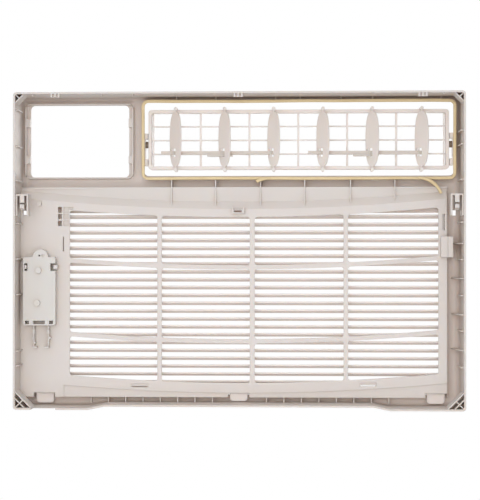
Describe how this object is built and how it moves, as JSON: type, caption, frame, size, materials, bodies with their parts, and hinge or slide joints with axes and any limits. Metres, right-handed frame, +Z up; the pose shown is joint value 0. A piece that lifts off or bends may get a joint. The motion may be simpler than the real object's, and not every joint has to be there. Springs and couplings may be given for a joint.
{
  "type": "window air conditioner front panel",
  "caption": "Deep moulded front panel of a window air conditioner: tilting louver frame with swinging vanes, hinged intake grille, latticed guard, foam gasket and snap sockets.",
  "frame": {"origin": "under the middle of the panel's bounding box, on the surface that its feet stand on", "axes": "+X to the right as seen from the room, +Y from the front face to the rear rim, +Z up"},
  "size_m": [0.6758, 0.07, 0.474],
  "materials": {
    "panel_abs": "pale warm grey ABS, fine grain",
    "louver_abs": "pale warm grey ABS, satin",
    "grille_abs": "pale warm grey ABS, satin",
    "cover_abs": "pale grey ABS, satin",
    "link_pp": "satin polypropylene",
    "bush_pom": "darker acetal",
    "gasket_foam": "yellowed open-cell foam strip"
  },
  "bodies": {
    "panel": {"front_panel": "panel_abs", "intake_guard": "panel_abs", "outlet_gasket": "gasket_foam", "gasket_stub": "gasket_foam", "gasket_tail": "gasket_foam", "right_louver_bracket": "louver_abs", "left_louver_bracket": "louver_abs", "right_pivot_bush": "bush_pom", "left_pivot_bush": "bush_pom", "right_mount_clip": "panel_abs", "left_mount_clip": "panel_abs", "sensor_cover": "cover_abs", "sensor_clip_arms": "cover_abs", "side_catch_housing": "panel_abs", "centre_catch": "panel_abs"},
    "grille": {"intake_grille": "grille_abs", "grille_hinge_tabs": "grille_abs", "grille_latches": "grille_abs"},
    "louver": {"louver_frame": "louver_abs", "right_pivot_pin": "bush_pom", "left_pivot_pin": "bush_pom"},
    "vane_body_1": {"vane_1": "louver_abs"},
    "vane_body_2": {"vane_2": "louver_abs"},
    "vane_body_3": {"vane_3": "louver_abs"},
    "vane_body_4": {"vane_4": "louver_abs"},
    "vane_body_5": {"vane_5": "louver_abs"},
    "vane_body_6": {"vane_6": "louver_abs"},
    "link_a": {"link_bar_a": "link_pp", "link_handle_a": "link_pp"},
    "link_b": {"link_bar_b": "link_pp", "link_handle_b": "link_pp"}
  },
  "joints": [
    {"name": "grille_tilt", "type": "hinge", "parent": "panel", "child": "grille", "pos_m": [0, -0.032, 0.023], "axis": [1, 0, 0], "range_deg": [0, 33]},
    {"name": "louver_tilt", "type": "hinge", "parent": "panel", "child": "louver", "pos_m": [-0.0892, -0.025, 0.399], "axis": [1, 0, 0], "range_deg": [-20, 20]},
    {"name": "vane_1_swing", "type": "hinge", "parent": "louver", "child": "vane_body_1", "pos_m": [0.0968, -0.01, 0.405], "axis": [0, 0, 1], "range_deg": [-84, 4]},
    {"name": "vane_2_swing", "type": "hinge", "parent": "louver", "child": "vane_body_2", "pos_m": [0.0224, -0.01, 0.405], "axis": [0, 0, 1], "range_deg": [-84, 4]},
    {"name": "vane_3_swing", "type": "hinge", "parent": "louver", "child": "vane_body_3", "pos_m": [-0.052, -0.01, 0.405], "axis": [0, 0, 1], "range_deg": [-84, 4]},
    {"name": "vane_4_swing", "type": "hinge", "parent": "louver", "child": "vane_body_4", "pos_m": [-0.1264, -0.01, 0.405], "axis": [0, 0, 1], "range_deg": [-84, 4]},
    {"name": "vane_5_swing", "type": "hinge", "parent": "louver", "child": "vane_body_5", "pos_m": [-0.2008, -0.01, 0.405], "axis": [0, 0, 1], "range_deg": [-84, 4]},
    {"name": "vane_6_swing", "type": "hinge", "parent": "louver", "child": "vane_body_6", "pos_m": [-0.2752, -0.01, 0.405], "axis": [0, 0, 1], "range_deg": [-84, 4]},
    {"name": "link_a_pivot", "type": "hinge", "parent": "vane_body_1", "child": "link_a", "pos_m": [0.10082, -0.01446, 0.385], "axis": [0, 0, 1], "range_deg": [-4, 84]},
    {"name": "link_b_pivot", "type": "hinge", "parent": "vane_body_4", "child": "link_b", "pos_m": [-0.12238, -0.01446, 0.385], "axis": [0, 0, 1], "range_deg": [-4, 84]}
  ],
  "couplings": [
    {"joint": "vane_2_swing", "follows": "vane_1_swing", "ratio": 1},
    {"joint": "vane_3_swing", "follows": "vane_1_swing", "ratio": 1},
    {"joint": "vane_5_swing", "follows": "vane_4_swing", "ratio": 1},
    {"joint": "vane_6_swing", "follows": "vane_4_swing", "ratio": 1},
    {"joint": "link_a_pivot", "follows": "vane_1_swing", "ratio": -1},
    {"joint": "link_b_pivot", "follows": "vane_4_swing", "ratio": -1}
  ]
}
